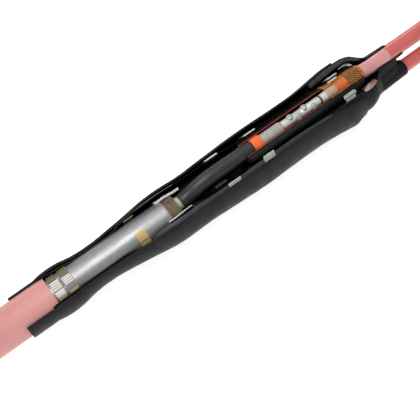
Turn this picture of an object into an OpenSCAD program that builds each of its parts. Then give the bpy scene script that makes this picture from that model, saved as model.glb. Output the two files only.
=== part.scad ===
// Cable joint: one three-core lead-sheathed cable to three single-core cables, with its
// covers cut open along the top to show the inside.
// X runs along the joint: the three-core cable is at -X, the single-core cables at +X.
// The window faces +Z. Angles round the axis are counted from +Z towards -Y.
// The three phases lie in a trefoil: phase a on top, b at the front (-Y), c at the back (+Y).

/* [Lengths along the joint] */
// Sawn end of the three-core cable
left_end = -580; // [-620:5:-540]
// Sawn ends of the single-core cables
right_end = 580; // [545:5:620]
// Where the bare length of the three-core cable stops, just before the sleeves
bare_left = -466; // [-470:1:-466]
// Where the bare lengths of the single-core cables start, just past the fingers
bare_right = 472; // [472:1:484]
// Where the pink oversheath stops
oversheath_end = -392; // [-394:1:-389]
// Where the lead sheath stops
lead_end = -126; // [-134:1:-124]
// Where the brown belt paper stops
belt_end = -104; // [-108:1:-103]
// Where the black core tubes start
core_tube_start = -94; // [-94:1:-88]
// Where the black core tubes stop
core_tube_end = 83; // [80:1:90]
// Where the paper insulation stops
paper_end = 158; // [150:1:160]
// Left end of the connectors
connector_start = 161; // [161:1:163]
// Right end of the connectors
connector_end = 258; // [254:1:258]
// Left end of the joint bodies
body_start = 64; // [60:1:70]
// Right end of the joint bodies
body_end = 364; // [360:1:364]
// Where the red liner stops and the copper mesh starts
liner_end = 270; // [266:1:274]
// End of the pink mastic and start of the red jackets
jacket_start = 440; // [430:1:450]
// Ends of the breakout fingers
finger_end = 471; // [465:1:471]

/* [Three-core cable] */
// Diameter over the oversheath
three_core_od = 80; // [79.8:0.1:80.1]
// Diameter over the oversheath where it is roughened under the sleeves
sealed_od = 79; // [78.4:0.1:79]
// Diameter over the lead sheath
lead_od = 66; // [65.8:0.1:66]
// Wall of the lead sheath
lead_wall = 2.4; // [2:0.1:2.6]
// Wall of the belt paper
belt_wall = 2.4; // [2:0.1:2.4]
// Distance of each core from the cable's axis
core_pitch_left = 15.3; // [15:0.1:15.4]
// Diameter over a core's paper insulation
paper_od = 24.6; // [24:0.1:24.8]

/* [Phases] */
// Diameter of the conductors
conductor_od = 11.6; // [10.8:0.1:11.8]
// Diameter over the black core tube
core_tube_od = 30; // [29:0.1:30.4]
// Distance of each core from the axis between the crotch and the breakout
core_pitch_mid = 35.3; // [35.2:0.1:35.4]
// Diameter over the connector
connector_od = 19.6; // [18.8:0.1:19.8]
// Diameter over the white insulation of a single-core cable
xlpe_od = 19.2; // [19:0.1:19.6]
// Diameter over its bonded black screen
xlpe_screen_od = 20.8; // [20.6:0.1:21]
// Diameter over the screen wires
wire_screen_od = 24; // [23.6:0.1:24.2]
// Diameter over the red jacket
jacket_od = 30; // [30:0.1:30.6]
// Diameter over the red jacket where it is roughened inside the fingers
sealed_jacket_od = 29.6; // [29:0.1:29.6]
// Diameter over the tan stress-control tube
stress_od = 22.4; // [22:0.1:23]
// Outer diameter of a joint body
body_od = 44.4; // [43:0.1:44.8]
// Outer diameter of the red liner
liner_od = 35.2; // [34.8:0.1:35.6]
// Bore of the red liner
liner_id = 31; // [30.8:0.1:31.4]

/* [Breakout] */
// Distance of each single-core cable from the axis
core_pitch_right = 28.6; // [28.4:0.1:28.8]
// Radius of a finger at its root
finger_root_r = 19.6; // [19:0.1:20]
// Radius of a finger at its end
finger_tip_r = 18; // [17.6:0.1:18.4]

/* [Height] */
// Height of the joint's axis over the surface it lies on
axis_h = 65.5; // [65.5:0.1:69]

/* [Hidden] */
$fn = 48;

// Angle of each phase round the axis
PHASE = [0, 120, -120];

// ---- where a core runs: x along, height over the joint's axis ----
// first bend: from the three-core cable's pitch out to the middle pitch
xa0 = -112;
xa1 = -12;
ha = core_pitch_mid - core_pitch_left;
Ra = (pow(xa1 - xa0, 2) + ha * ha) / (4 * ha);
// second bend: from the middle pitch in to the breakout's pitch
xb0 = 325;
xb1 = 412;
hb = core_pitch_mid - core_pitch_right;
Rb = (pow(xb1 - xb0, 2) + hb * hb) / (4 * hb);

// [x, height, slope] on the two S-bends
function knot_a(x) = let (m = (xa0 + xa1) / 2)
    x <= m ? [x, core_pitch_left + Ra - sqrt(Ra * Ra - pow(x - xa0, 2)), asin((x - xa0) / Ra)]
           : [x, core_pitch_mid - Ra + sqrt(Ra * Ra - pow(xa1 - x, 2)), asin((xa1 - x) / Ra)];
function knot_b(x) = let (m = (xb0 + xb1) / 2)
    x <= m ? [x, core_pitch_mid - Rb + sqrt(Rb * Rb - pow(x - xb0, 2)), -asin((x - xb0) / Rb)]
           : [x, core_pitch_right + Rb - sqrt(Rb * Rb - pow(xb1 - x, 2)), -asin((xb1 - x) / Rb)];
KNOTS = concat([for (i = [0 : 6]) knot_a(xa0 + i * (xa1 - xa0) / 6)],
               [for (i = [0 : 4]) knot_b(xb0 + i * (xb1 - xb0) / 4)]);
LASTK = len(KNOTS) - 1;
function mix(p, q, x) = let (t = (x - p[0]) / (q[0] - p[0])) p + (q - p) * t;
function on_core(x, i = 0) = x <= KNOTS[0][0] ? [x, core_pitch_left, 0]
    : x >= KNOTS[LASTK][0] ? [x, core_pitch_right, 0]
    : x <= KNOTS[i + 1][0] ? mix(KNOTS[i], KNOTS[i + 1], x) : on_core(x, i + 1);

// stations of a core between two x, each with an outer and an inner radius
function run(x0, x1, ro, ri) = concat([[x0, ro, ri]],
    [for (k = KNOTS) if (k[0] > x0 + 0.01 && k[0] < x1 - 0.01) [k[0], ro, ri]], [[x1, ro, ri]]);

// tube (or rod where the inner radius is 0) through stations along a core's line
SIDES = 24;
function ring_at(s, r) = let (c = on_core(s[0])) [for (i = [0 : SIDES - 1]) let (u = i * 360 / SIDES)
    [c[0] - r * cos(u) * sin(c[2]), r * sin(u), c[1] + r * cos(u) * cos(c[2])]];
module core_tube_through(st) {
    n = SIDES;
    hollow = st[0][2] > 0;
    w = hollow ? 2 * n : n;
    last = len(st) - 1;
    pts = [for (s = st) each (hollow ? concat(ring_at(s, s[1]), ring_at(s, s[2])) : ring_at(s, s[1]))];
    outer = [for (j = [0 : last - 1]) for (i = [0 : n - 1])
        let (a = j * w + i, b = j * w + (i + 1) % n, c = b + w, d = a + w) each [[a, b, c], [a, c, d]]];
    inner = hollow ? [for (j = [0 : last - 1]) for (i = [0 : n - 1])
        let (a = j * w + n + i, b = j * w + n + (i + 1) % n, c = b + w, d = a + w) each [[a, c, b], [a, d, c]]] : [];
    start = hollow ? [for (i = [0 : n - 1]) let (k = (i + 1) % n) each [[i, n + i, n + k], [i, n + k, k]]]
                   : [[for (i = [n - 1 : -1 : 0]) i]];
    stop = [for (f = start) [for (q = [len(f) - 1 : -1 : 0]) f[q] + last * w]];
    polyhedron(points = pts, faces = concat(outer, inner, start, stop), convexity = 4);
}
module core_run(x0, x1, ro, ri) core_tube_through(run(x0, x1, ro, ri));

module ring2(ro, ri) {
    difference() {
        circle(r = ro);
        if (ri > 0) circle(r = ri);
    }
}

// straight ring between two x, at a height over the axis
module straight(x0, x1, h, ro, ri)
    translate([x0, 0, h]) rotate([0, 90, 0]) linear_extrude(height = x1 - x0) ring2(ro, ri);

module phase(k) rotate([PHASE[k], 0, 0]) children();

// ---- shells that are open at the top ----
// radius of a slightly three-lobed section
function lobed(r, a, t) = r + a * cos(3 * t);
// radius of a section that hugs three circles of radius rb at distance R
function fold(t) = let (u = ((t % 120) + 120) % 120) u > 60 ? 120 - u : u;
function hug(R, rb, t) = let (f = fold(t), lim = atan2(rb * sin(60), R + rb * cos(60)))
    f <= lim ? R * cos(f) + sqrt(rb * rb - pow(R * sin(f), 2)) : (R * cos(60) + rb) / cos(60 - f);
function polar(x, t, r) = [x, -r * sin(t), r * cos(t)];

// rings: one list of points a station, outer side first and then the inner side back again
module loft_open(rings, n) {
    m = 2 * (n + 1);
    last = len(rings) - 1;
    pts = [for (r = rings) for (p = r) p];
    side = [for (j = [0 : last - 1]) for (k = [0 : m - 1])
        let (a = j * m + k, b = j * m + (k + 1) % m, c = (j + 1) * m + (k + 1) % m, d = (j + 1) * m + k)
            each [[a, d, c], [a, c, b]]];
    cap0 = [for (i = [0 : n - 1]) each [[i, i + 1, m - 2 - i], [i, m - 2 - i, m - 1 - i]]];
    cap1 = [for (f = cap0) [f[2] + last * m, f[1] + last * m, f[0] + last * m]];
    polyhedron(points = pts, faces = concat(side, cap0, cap1), convexity = 6);
}

// stations are [x, distance of the three circles, their radius, wall, half angle of the window]
module hugging_shell(st, n) {
    loft_open([for (s = st) concat(
        [for (i = [0 : n]) let (t = s[4] + i * (360 - 2 * s[4]) / n) polar(s[0], t, hug(s[1], s[2] + s[3], t))],
        [for (i = [n : -1 : 0]) let (t = s[4] + i * (360 - 2 * s[4]) / n) polar(s[0], t, hug(s[1], s[2], t))])], n);
}

// stations are [x, outer radius, lobe, inner radius, half angle of the window]
module open_shell(st, n) {
    loft_open([for (s = st) concat(
        [for (i = [0 : n]) let (t = s[4] + i * (360 - 2 * s[4]) / n) polar(s[0], t, lobed(s[1], s[2], t))],
        [for (i = [n : -1 : 0]) let (t = s[4] + i * (360 - 2 * s[4]) / n) polar(s[0], t, lobed(s[3], s[2], t))])], n);
}

// an arc of a ring round the axis, from x0 to x1, from angle t0 to t1
module arc_strip(x0, x1, ro, ri, t0, t1) {
    translate([x0, 0, 0]) rotate([0, 90, 0]) rotate([0, 0, 180])
        mirror([0, 1, 0]) rotate([0, 0, t0])
            rotate_extrude(angle = t1 - t0, $fn = 96) translate([ri, 0]) square([ro - ri, x1 - x0]);
}

// ---- the shells' stations ----
outer_st = [
    [-465, 45.1, 0, 39.75, 54.5], [-411, 45.1, 0, 39.75, 54], [-406, 46, 0, 42.7, 54],
    [-392, 48.2, 0, 43.3, 53], [-376, 49, 0, 44.2, 52], [-353, 47.4, 0, 42.6, 53],
    [-336, 44.3, 0, 39.4, 54], [-321, 42.3, 0, 37.3, 56], [-300, 41.3, 0, 36.3, 57],
    [-280, 41.5, 0, 36.5, 57], [-261, 42.8, 0, 37.8, 56.5], [-241, 44.8, 0.1, 39.9, 55.5],
    [-222, 46.9, 0.6, 42.1, 54.5], [-203, 49.3, 0.9, 44.6, 53.5], [-183, 52, 1.2, 47.5, 53],
    [-164, 54.7, 1.7, 50.3, 52.5], [-145, 56.7, 2.2, 52.5, 52], [-125, 57.6, 2.7, 53.5, 53],
    [-105, 57.2, 2.9, 53.1, 53.5], [-84, 56.4, 3.2, 52.4, 54], [-60, 56.1, 3.4, 52.1, 54],
    [-30, 57.4, 3.2, 53.5, 52], [17, 59.5, 3.3, 55.7, 50.5], [58, 61.2, 3.4, 57.5, 50],
    [95, 61.7, 3.4, 58, 50], [130, 61.1, 3.4, 57.4, 50], [170, 60.4, 3.4, 56.7, 50.5],
    [215, 60.6, 3.4, 56.9, 51], [250, 62.8, 3.4, 59.2, 50.5], [272, 64.9, 3.3, 61.4, 51],
    [294, 67.3, 3.5, 64.1, 52], [310, 69, 3.5, 65.9, 53], [325, 67.1, 1.6, 64.2, 55],
    [336, 66, 0.4, 62.7, 56]
];
// [x, distance of the three circles it hugs, their radius, wall, half angle of the window]
inner_st = [
    [-405.5, 0, 39.7, 2.65, 50], [-398, 0, 39.7, 2.65, 48], [-390, 0, 40.2, 2.2, 47],
    [-376, 0, 39.2, 2.2, 47], [-353, 0, 37.8, 2.2, 48], [-336, 0, 35.2, 2.2, 49],
    [-321, 0, 33.5, 2.2, 50], [-300, 0, 33.3, 2.2, 50], [-260, 0, 33.3, 2.2, 50],
    [-241, 0, 33.6, 2.2, 49.5], [-222, 0, 38, 2, 51], [-208, 0, 40.8, 1.9, 55],
    [-184, 0, 44, 1.8, 54.5], [-168, 1.2, 44.8, 1.8, 46], [-145, 4, 44, 1.8, 45],
    [-125, 8, 42, 1.8, 45.5], [-105, 12, 39, 1.7, 46], [-84, 16, 36, 1.7, 46.5],
    [-60, 19.5, 32.8, 1.6, 47], [-30, 21.6, 31.9, 1.5, 47], [-8, 22.5, 31.8, 1.5, 47],
    [30, 22.5, 31.8, 1.5, 47], [48, 29.5, 27, 1.5, 47], [60, 34.6, 23.3, 1.5, 47],
    [66, 35.3, 22.6, 1.5, 47], [120, 35.3, 22.6, 1.5, 47], [185, 35.3, 22.6, 1.5, 47],
    [250, 35.3, 22.6, 1.5, 47.5]
];
palm_st = [
    [258, 59.7, 3.4, 57, 49], [272, 61.1, 3.3, 58.3, 49], [294, 63.6, 3.5, 59.7, 50],
    [310, 65.3, 3.5, 61.2, 51], [325, 63.6, 1.6, 60.5, 52], [336, 62.1, 0.4, 59.7, 53],
    [346, 62, 0, 59.9, 52], [358, 61.6, 0, 59.7, 50.5], [366, 60.4, 0, 58.1, 49],
    [376, 57.4, 0, 54.4, 47], [385, 52.9, 0, 49.4, 43], [394, 49.6, 0, 45.2, 35],
    [401, 47.4, 0, 43, 24]
];

module outer_sleeve() color([0.14, 0.14, 0.14]) open_shell(outer_st, 26);
module inner_sleeve() color([0.17, 0.17, 0.18]) hugging_shell(inner_st, 36);

module outlet_breakout() color([0.16, 0.16, 0.17]) {
    difference() {
        union() {
            open_shell(palm_st, 26);
            // the web that closes the palm between its fingers
            translate([398, 0, 0]) rotate([0, 90, 0]) cylinder(r = 46.2, h = 6, $fn = 72);
            for (k = [0 : 2]) phase(k)
                translate([400, 0, core_pitch_right]) rotate([0, 90, 0])
                    cylinder(r1 = finger_root_r, r2 = finger_tip_r, h = finger_end - 400, $fn = 48);
        }
        for (k = [0 : 2]) phase(k)
            translate([390, 0, core_pitch_right]) rotate([0, 90, 0]) {
                cylinder(r = 15.1, h = 100, $fn = 48);
                cylinder(r1 = 16.1, r2 = 15, h = 26, $fn = 48);
            }
        // the top finger and its root are cut open
        translate([390, -30, core_pitch_right + 1.5]) cube([100, 60, 60]);
    }
}

// pale wrap that seals the ends of the three bodies to the cables
module outlet_wrap() color([0.85, 0.85, 0.82])
    hugging_shell([[352, 35.3, 22.65, 1.2, 55], [359.5, 35.3, 22.65, 1.2, 55], [364.5, 35.3, 20.5, 1.2, 55],
                   [371, 32.6, 17.6, 1.2, 55], [377, 31.2, 16.4, 1.2, 55]], 36);

// ---- the three-core cable ----
// tube from x0 to x1 round the line at the given pitch, its outside ra before the step at xs and rb after it
module stepped(x0, xs, x1, pitch, ra, rb, ri)
    translate([0, 0, pitch]) rotate([0, 90, 0]) rotate_extrude()
        polygon([[ri, x0], [ra, x0], [ra, xs], [rb, xs], [rb, x1], [ri, x1]]);

module three_core_oversheath() color([0.86, 0.6, 0.59])
    stepped(left_end, bare_left, oversheath_end, 0, three_core_od / 2, sealed_od / 2, lead_od / 2);
module lead_sheath() color([0.62, 0.64, 0.66])
    straight(left_end, lead_end, 0, lead_od / 2, lead_od / 2 - lead_wall);
module belt_paper() color([0.45, 0.38, 0.29])
    straight(left_end, belt_end, 0, lead_od / 2 - lead_wall, lead_od / 2 - lead_wall - belt_wall);
module core_filler() color([0.5, 0.43, 0.33])
    difference() {
        translate([left_end, 0, 0]) rotate([0, 90, 0])
            cylinder(r = lead_od / 2 - lead_wall - belt_wall, h = xa0 - left_end);
        for (k = [0 : 2]) phase(k)
            translate([left_end - 1, 0, core_pitch_left]) rotate([0, 90, 0])
                cylinder(r = paper_od / 2, h = xa0 - left_end + 2);
    }

// ---- the crotch ----
module crotch_filler() color([0.3, 0.27, 0.22])
    rotate([0, 90, 0]) rotate_extrude() polygon([[0, xa0], [2.2, xa0], [2.2, -90], [5.9, -60], [0, -60]]);

// thin pale sleeve over the end of the lead sheath and the crotch, open at the top
module crotch_screen() color([0.8, 0.8, 0.78])
    hugging_shell([[-136, 0, 33.2, 1.9, 43.7], [-125, 0, 33.2, 1.9, 43.4], [-112, 2, 31.8, 1.9, 43],
                   [-104, 4, 29.6, 1.9, 42.5], [-94, 7, 27.1, 1.9, 42], [-80, 10, 25.1, 1.9, 41.4]], 30);

// each tie is flattened where it meets its neighbours
module core_ties() color([0.72, 0.7, 0.64])
    for (k = [0 : 2]) phase(k) intersection() {
        translate([-98.6, 0, core_pitch_left + 0.7]) rotate([0, 90 - 5.96, 0]) translate([0, 0, -3.5])
            linear_extrude(height = 7) ring2(15.4, 12.6);
        translate([-106, 0, 0]) rotate([0, 90, 0]) linear_extrude(height = 16)
            polygon([[-2.6, 3.9], [-20.3, 34], [-40, 34], [-40, -34], [-20.3, -34], [-2.6, -3.9]]);
    }

// ---- clamps on the lead sheath ----
module sheath_spring_1() color([0.49, 0.46, 0.33]) arc_strip(-388, -371, 35.2, 33, 39, 343);
module sheath_spring_2() color([0.49, 0.46, 0.33]) arc_strip(-364.5, -345.5, 35.2, 33, 41.5, 350);

// spiral spring: its inner end lies on the lead at 14 degrees, its outer end stands off
module sheath_spring_3() color([0.78, 0.7, 0.46])
    translate([-206, 0, 0]) rotate([0, 90, 0]) rotate([0, 0, 180]) mirror([0, 1, 0])
        linear_extrude(height = 21)
            polygon(concat(
                [for (i = [0 : 37]) let (t = 14 + i * 8, r = 35 + 6 * pow(i / 37, 2)) [r * cos(t), r * sin(t)]],
                [for (i = [37 : -1 : 0]) let (t = 14 + i * 8, r = 33.1 + 6 * pow(i / 37, 2)) [r * cos(t), r * sin(t)]]));

// tinned braid: two pads in the gaps of the left clamps, joined between them
module earth_braid() color([0.84, 0.82, 0.79])
    union() {
        arc_strip(-389, -368.6, 35.8, 33, -15.8, 19.5);
        arc_strip(-369, -364.6, 34.2, 33, -9, 19.5);
        arc_strip(-365, -344.6, 35.8, 33, -9, 22.7);
    }

// ---- bands round the cores ----
module inner_band() color([0.8, 0.8, 0.76]) hugging_shell([[-5, 22.5, 30.4, 1.1, 50], [27, 22.5, 30.4, 1.1, 50]], 36);
module outer_bands() color([0.8, 0.8, 0.76]) {
    hugging_shell([[-5, 22.5, 33.6, 1.2, 44.5], [27, 22.5, 33.6, 1.2, 44.5]], 36);
    hugging_shell([[85, 35.3, 24.45, 1.1, 42], [116, 35.3, 24.45, 1.1, 42]], 36);
    hugging_shell([[300, 35.3, 22.65, 1.2, 47], [328, 35.3, 22.65, 1.2, 47]], 36);
}

// ---- one phase ----
module paper_conductor(k) color([0.72, 0.45, 0.3]) phase(k) core_run(left_end, 206, conductor_od / 2, 0);
module paper_insulation(k) color([0.66, 0.65, 0.6]) phase(k)
    core_tube_through(concat(run(left_end, paper_end - 4, paper_od / 2, conductor_od / 2),
                             [[paper_end, paper_od / 2 - 2.4, conductor_od / 2]]));
module core_tube(k) color([0.2, 0.21, 0.22]) phase(k)
    core_tube_through(concat([[core_tube_start, core_tube_od / 2 - 0.9, paper_od / 2]],
                             run(core_tube_start + 7, core_tube_end, core_tube_od / 2, paper_od / 2)));

// angles of the two rows of shear bolts, and their places along the connector
bolt_at = [[184, -32], [199, 42], [220, -32], [238, 42]];

module connector(k) color([0.86, 0.86, 0.88]) phase(k) translate([0, 0, core_pitch_mid])
    difference() {
        rotate([0, 90, 0]) rotate_extrude()
            polygon([[0, connector_start], [connector_od / 2 - 1, connector_start], [connector_od / 2, connector_start + 1],
                     [connector_od / 2, connector_end - 4], [connector_od / 2 - 1.2, connector_end - 1.4],
                     [connector_od / 2 - 2.6, connector_end], [0, connector_end]]);
        translate([connector_start - 1, 0, 0]) rotate([0, 90, 0]) cylinder(r = conductor_od / 2, h = 206 - connector_start + 1);
        translate([213, 0, 0]) rotate([0, 90, 0]) cylinder(r = conductor_od / 2, h = connector_end - 213 + 1);
        for (b = bolt_at) translate([b[0], 0, 0]) rotate([b[1], 0, 0]) cylinder(r = 4, h = 20);
    }

// threaded stub and domed sheared head
module shear_bolt() {
    seat = connector_od / 2 - 0.2;
    translate([0, 0, conductor_od / 2]) cylinder(r = 4, h = seat - conductor_od / 2);
    translate([0, 0, seat]) rotate_extrude()
        polygon([[0, 0], [4, 0], [4, 0.3], [6.2, 0.3], [6.2, 1.3], [5.4, 2.4], [3.6, 3], [0, 3.1]]);
}
module shear_bolts() color([0.7, 0.72, 0.74])
    for (k = [0 : 2]) phase(k) translate([0, 0, core_pitch_mid])
        for (b = bolt_at) translate([b[0], 0, 0]) rotate([b[1], 0, 0]) shear_bolt();

module left_mastics() color([0.96, 0.47, 0.23])
    for (k = [0 : 2]) phase(k) straight(core_tube_end, 105.6, core_pitch_mid, liner_id / 2, paper_od / 2);
module stress_tube(k) color([0.75, 0.63, 0.51]) phase(k) straight(275, 301, core_pitch_mid, stress_od / 2, xlpe_od / 2);
module right_mastics() color([0.82, 0.43, 0.19])
    for (k = [0 : 2]) phase(k) straight(301, 325, core_pitch_mid, 13.6, xlpe_od / 2);
module single_conductor(k) color([0.72, 0.45, 0.3]) phase(k) core_run(213, right_end, conductor_od / 2, 0);
module single_insulation(k) color([0.85, 0.84, 0.83]) phase(k)
    core_tube_through(concat([[connector_end + 1, xlpe_od / 2, conductor_od / 2], [325, xlpe_od / 2, conductor_od / 2]],
                             run(326, right_end, xlpe_screen_od / 2, conductor_od / 2)));
module screen_wires(k) color([0.75, 0.45, 0.28]) phase(k)
    core_run(340, right_end, wire_screen_od / 2, xlpe_screen_od / 2);
module finger_mastic(k) color([0.86, 0.6, 0.6]) phase(k)
    core_run(body_end + 4.5, jacket_start, 14.8, wire_screen_od / 2);
module jacket(k) color([0.8, 0.4, 0.38]) phase(k)
    stepped(jacket_start, bare_right, right_end, core_pitch_right, sealed_jacket_od / 2, jacket_od / 2, wire_screen_od / 2);

// wedge that takes the top out of phase a's body, from t0 to -t0
module top_wedge(x0, x1, r, t0) {
    translate([x0, 0, core_pitch_mid]) rotate([0, 90, 0]) rotate([0, 0, 180]) mirror([0, 1, 0])
        linear_extrude(height = x1 - x0)
            polygon([[0, 0], [r * cos(t0), r * sin(t0)], [1.6 * r, 1.2 * r], [1.6 * r, -1.2 * r], [r * cos(t0), -r * sin(t0)]]);
}

module copper_mesh(k) color([0.78, 0.5, 0.2]) phase(k)
    difference() {
        translate([0, 0, core_pitch_mid]) rotate([0, 90, 0]) rotate_extrude()
            polygon([[liner_id / 2, liner_end], [liner_od / 2, liner_end], [liner_od / 2, 356], [liner_od / 2 - 0.6, 361],
                     [liner_od / 2 - 1.6, 365.8], [liner_id / 2, 365.8]]);
        if (k == 0) top_wedge(liner_end - 1, 325, 30, 60);
    }
// the bodies: phase a's is open at the top, from 60 degrees on one side to 60 on the other
module body_turn(k) phase(k) translate([0, 0, core_pitch_mid])
    rotate([0, 90, 0]) rotate([0, 0, 180]) mirror([0, 1, 0]) rotate([0, 0, k == 0 ? 60 : 0])
        rotate_extrude(angle = k == 0 ? 240 : 360, $fn = 96) children();
module body_liner(k) color([0.75, 0.3, 0.22]) body_turn(k)
    translate([liner_id / 2, body_start]) square([(liner_od - liner_id) / 2, liner_end - body_start]);
module body_tube(k) color([0.19, 0.19, 0.2]) body_turn(k)
    polygon([[liner_od / 2, body_start], [body_od / 2 - 1, body_start], [body_od / 2, body_start + 1],
             [body_od / 2, body_end - 5], [body_od / 2 - 1.4, body_end - 1.4], [liner_od / 2 + 1, body_end - 0.2],
             [liner_od / 2, body_end - 0.2]]);

translate([0, 0, axis_h]) {
    outer_sleeve();
    inner_sleeve();
    outlet_breakout();
    outlet_wrap();
    three_core_oversheath();
    lead_sheath();
    belt_paper();
    core_filler();
    crotch_filler();
    crotch_screen();
    core_ties();
    sheath_spring_1();
    sheath_spring_2();
    sheath_spring_3();
    earth_braid();
    inner_band();
    outer_bands();
    shear_bolts();
    left_mastics();
    right_mastics();
    paper_conductor(0);  // paper_conductor_a
    paper_insulation(0);  // paper_insulation_a
    core_tube(0);  // core_tube_a
    connector(0);  // connector_a
    single_conductor(0);  // single_conductor_a
    single_insulation(0);  // single_insulation_a
    screen_wires(0);  // screen_wires_a
    stress_tube(0);  // stress_tube_a
    copper_mesh(0);  // copper_mesh_a
    body_liner(0);  // body_liner_a
    body_tube(0);  // body_tube_a
    finger_mastic(0);  // finger_mastic_a
    jacket(0);  // jacket_a
    paper_conductor(1);  // paper_conductor_b
    paper_insulation(1);  // paper_insulation_b
    core_tube(1);  // core_tube_b
    connector(1);  // connector_b
    single_conductor(1);  // single_conductor_b
    single_insulation(1);  // single_insulation_b
    screen_wires(1);  // screen_wires_b
    stress_tube(1);  // stress_tube_b
    copper_mesh(1);  // copper_mesh_b
    body_liner(1);  // body_liner_b
    body_tube(1);  // body_tube_b
    finger_mastic(1);  // finger_mastic_b
    jacket(1);  // jacket_b
    paper_conductor(2);  // paper_conductor_c
    paper_insulation(2);  // paper_insulation_c
    core_tube(2);  // core_tube_c
    connector(2);  // connector_c
    single_conductor(2);  // single_conductor_c
    single_insulation(2);  // single_insulation_c
    screen_wires(2);  // screen_wires_c
    stress_tube(2);  // stress_tube_c
    copper_mesh(2);  // copper_mesh_c
    body_liner(2);  // body_liner_c
    body_tube(2);  // body_tube_c
    finger_mastic(2);  // finger_mastic_c
    jacket(2);  // jacket_c
}
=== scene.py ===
"""Cable joint between one three-core lead-sheathed cable and three single-core cables, its covers cut open
along the top. Lengths in the tables are millimetres from the middle of the joint, about the joint's axis."""
import bpy
import bmesh
import math
import numpy as np
from mathutils import Matrix, Vector, noise


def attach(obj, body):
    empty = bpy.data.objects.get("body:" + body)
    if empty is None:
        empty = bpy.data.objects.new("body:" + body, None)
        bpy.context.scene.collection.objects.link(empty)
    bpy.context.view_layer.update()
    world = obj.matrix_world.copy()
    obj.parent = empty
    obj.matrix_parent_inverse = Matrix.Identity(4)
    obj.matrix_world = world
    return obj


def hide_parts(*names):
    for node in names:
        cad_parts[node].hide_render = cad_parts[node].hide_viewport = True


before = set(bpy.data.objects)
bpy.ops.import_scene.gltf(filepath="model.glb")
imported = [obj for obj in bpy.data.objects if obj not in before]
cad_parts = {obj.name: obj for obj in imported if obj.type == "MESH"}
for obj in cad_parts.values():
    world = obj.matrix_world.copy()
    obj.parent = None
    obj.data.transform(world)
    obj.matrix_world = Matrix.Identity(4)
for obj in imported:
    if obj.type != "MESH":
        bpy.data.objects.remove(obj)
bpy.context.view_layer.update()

AXIS = 65.5                      # height of the joint's axis over the floor
PHASE = {"a": 0.0, "b": 120.0, "c": -120.0}
DEG = math.pi / 180

# ------------------------------------------------------------------ camera
view = bpy.data.cameras.new("photo_camera")
view.lens = 68.571
view.sensor_width = 36.0
view.clip_start = 0.05
view.clip_end = 50
camera = bpy.data.objects.new("photo_camera", view)
bpy.context.scene.collection.objects.link(camera)
right = Vector((0.79711336, -0.60051927, -0.06314192)).normalized()
back = Vector((-0.21077026, -0.37470354, 0.9028694)).normalized()
up = back.cross(right).normalized()
turn_m = Matrix((right, up, back)).transposed().to_4x4()
turn_m.translation = Vector((-0.38433, -0.63039, 1.41588 + AXIS / 1000))
camera.matrix_world = turn_m
bpy.context.scene.camera = camera

# ------------------------------------------------------------------ light and floor
scene = bpy.context.scene
scene.view_settings.view_transform = "Standard"
scene.view_settings.look = "None"

world = bpy.data.worlds.new("studio")
world.use_nodes = True
world.node_tree.nodes["Background"].inputs[0].default_value = (0.93, 0.97, 1.0, 1.0)
world.node_tree.nodes["Background"].inputs[1].default_value = 0.40
scene.world = world


def area(name, place, target, size, power, size_y=None, colour=(1, 1, 1)):
    lamp = bpy.data.lights.new(name, "AREA")
    lamp.energy = power
    lamp.color = colour
    lamp.size = size
    if size_y:
        lamp.shape = "RECTANGLE"
        lamp.size_y = size_y
    o = bpy.data.objects.new(name, lamp)
    scene.collection.objects.link(o)
    o.location = place
    o.rotation_euler = (Vector(target) - Vector(place)).to_track_quat("-Z", "Y").to_euler()
    return o


mid = Vector((0.0, 0.0, 0.07))
area("key", (-0.4, 0.16, 2.3), mid, 1.2, 31, colour=(1.0, 0.965, 0.93))
area("fill", (0.1, 1.5, 1.9), mid, 1.6, 8)

# ------------------------------------------------------------------ materials


def lin(r, g, b):
    f = lambda c: c / 12.92 if c <= 0.04045 else ((c + 0.055) / 1.055) ** 2.4
    return (f(r / 255), f(g / 255), f(b / 255), 1.0)


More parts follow.
